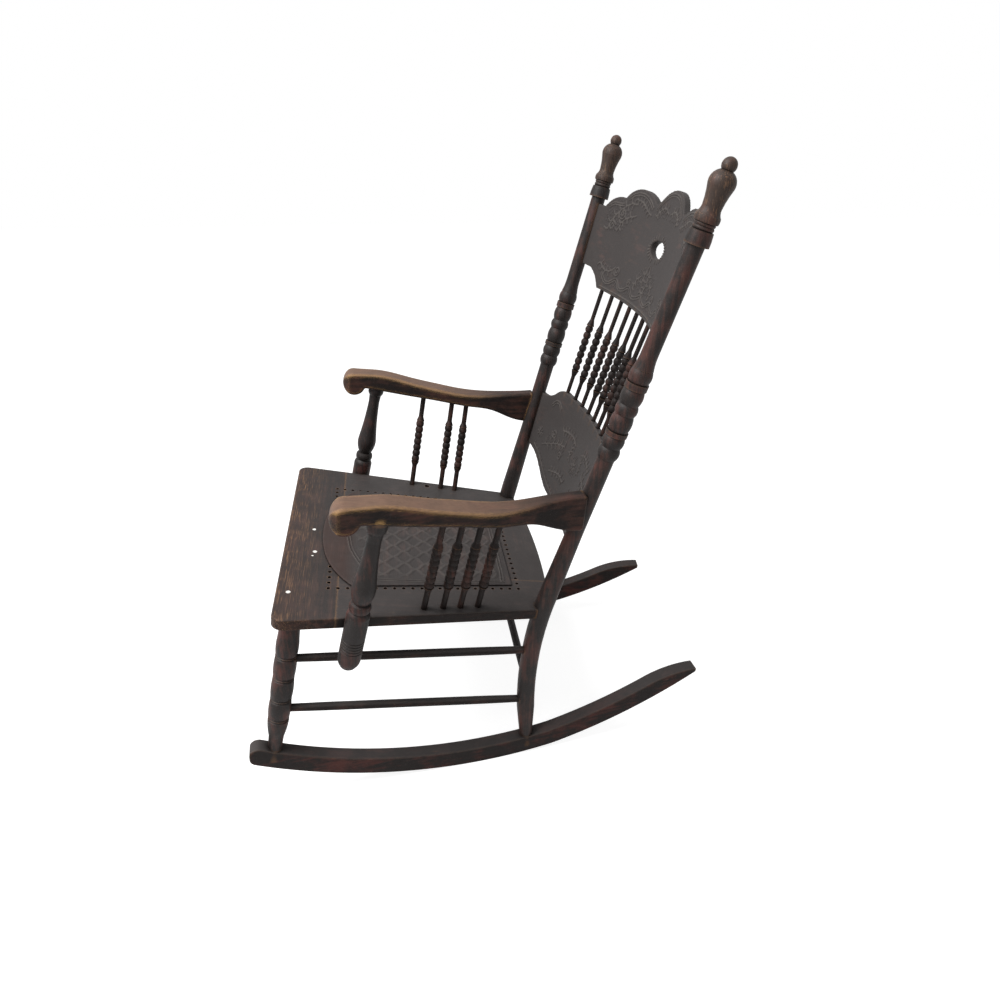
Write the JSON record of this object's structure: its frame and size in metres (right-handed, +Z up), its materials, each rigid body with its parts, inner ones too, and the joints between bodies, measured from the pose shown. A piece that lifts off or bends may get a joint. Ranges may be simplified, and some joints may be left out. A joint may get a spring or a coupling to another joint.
{
  "type": "rocking chair",
  "caption": "Pressed-back wooden rocking chair with turned posts, beaded spindles, scroll-ended arms, a bowed lobed crest rail and splayed rockers; one spindle is missing under the right arm.",
  "frame": {"origin": "on the floor, under the middle of the chair's box, with the chair at rest on its rockers", "axes": "+X towards the sitter's left, -Y the way the chair faces, +Z up"},
  "size_m": [0.5914, 0.8059, 1.0128],
  "materials": {
    "arm_spindle_wood": "old dark varnish, worn through at the edges",
    "back_spindle_wood": "old dark varnish, worn through at the edges",
    "rocker_wood": "old dark varnish, worn through at the edges",
    "front_leg_wood": "old dark varnish, worn through at the edges",
    "back_post_wood": "old dark varnish, worn through at the edges",
    "arm_post_wood": "old dark varnish, worn through at the edges",
    "arm_wood": "old dark varnish, worn through at the edges",
    "rung_wood": "old dark varnish, worn through at the edges",
    "crest_wood": "old dark varnish, worn through at the edges",
    "panel_wood": "old dark varnish, worn through at the edges",
    "pressed_seat_board": "old dark varnish, worn through at the edges",
    "seat_frame_wood": "old dark varnish, worn through at the edges"
  },
  "bodies": {
    "root": {"left_rocker": "rocker_wood", "left_front_leg": "front_leg_wood", "left_back_post": "back_post_wood", "left_arm": "arm_wood", "left_arm_post": "arm_post_wood", "left_seat_rail": "seat_frame_wood", "left_upper_side_rung": "rung_wood", "left_lower_side_rung": "rung_wood", "left_arm_spindle_1": "arm_spindle_wood", "left_arm_spindle_2": "arm_spindle_wood", "left_arm_spindle_3": "arm_spindle_wood", "left_arm_spindle_4": "arm_spindle_wood", "right_rocker": "rocker_wood", "right_front_leg": "front_leg_wood", "right_back_post": "back_post_wood", "right_arm": "arm_wood", "right_arm_post": "arm_post_wood", "right_seat_rail": "seat_frame_wood", "right_upper_side_rung": "rung_wood", "right_lower_side_rung": "rung_wood", "right_arm_spindle_1": "arm_spindle_wood", "right_arm_spindle_3": "arm_spindle_wood", "right_arm_spindle_4": "arm_spindle_wood", "back_spindle_1": "back_spindle_wood", "back_spindle_2": "back_spindle_wood", "back_spindle_3": "back_spindle_wood", "back_spindle_4": "back_spindle_wood", "back_spindle_5": "back_spindle_wood", "back_spindle_6": "back_spindle_wood", "back_spindle_7": "back_spindle_wood", "back_spindle_8": "back_spindle_wood", "back_spindle_9": "back_spindle_wood", "crest_rail": "crest_wood", "lower_back_panel": "panel_wood", "seat_front_rail": "seat_frame_wood", "seat_back_rail": "seat_frame_wood", "pressed_seat_panel": "pressed_seat_board", "front_upper_rung": "rung_wood", "front_lower_rung": "rung_wood", "rear_rung": "rung_wood"}
  },
  "joints": []
}
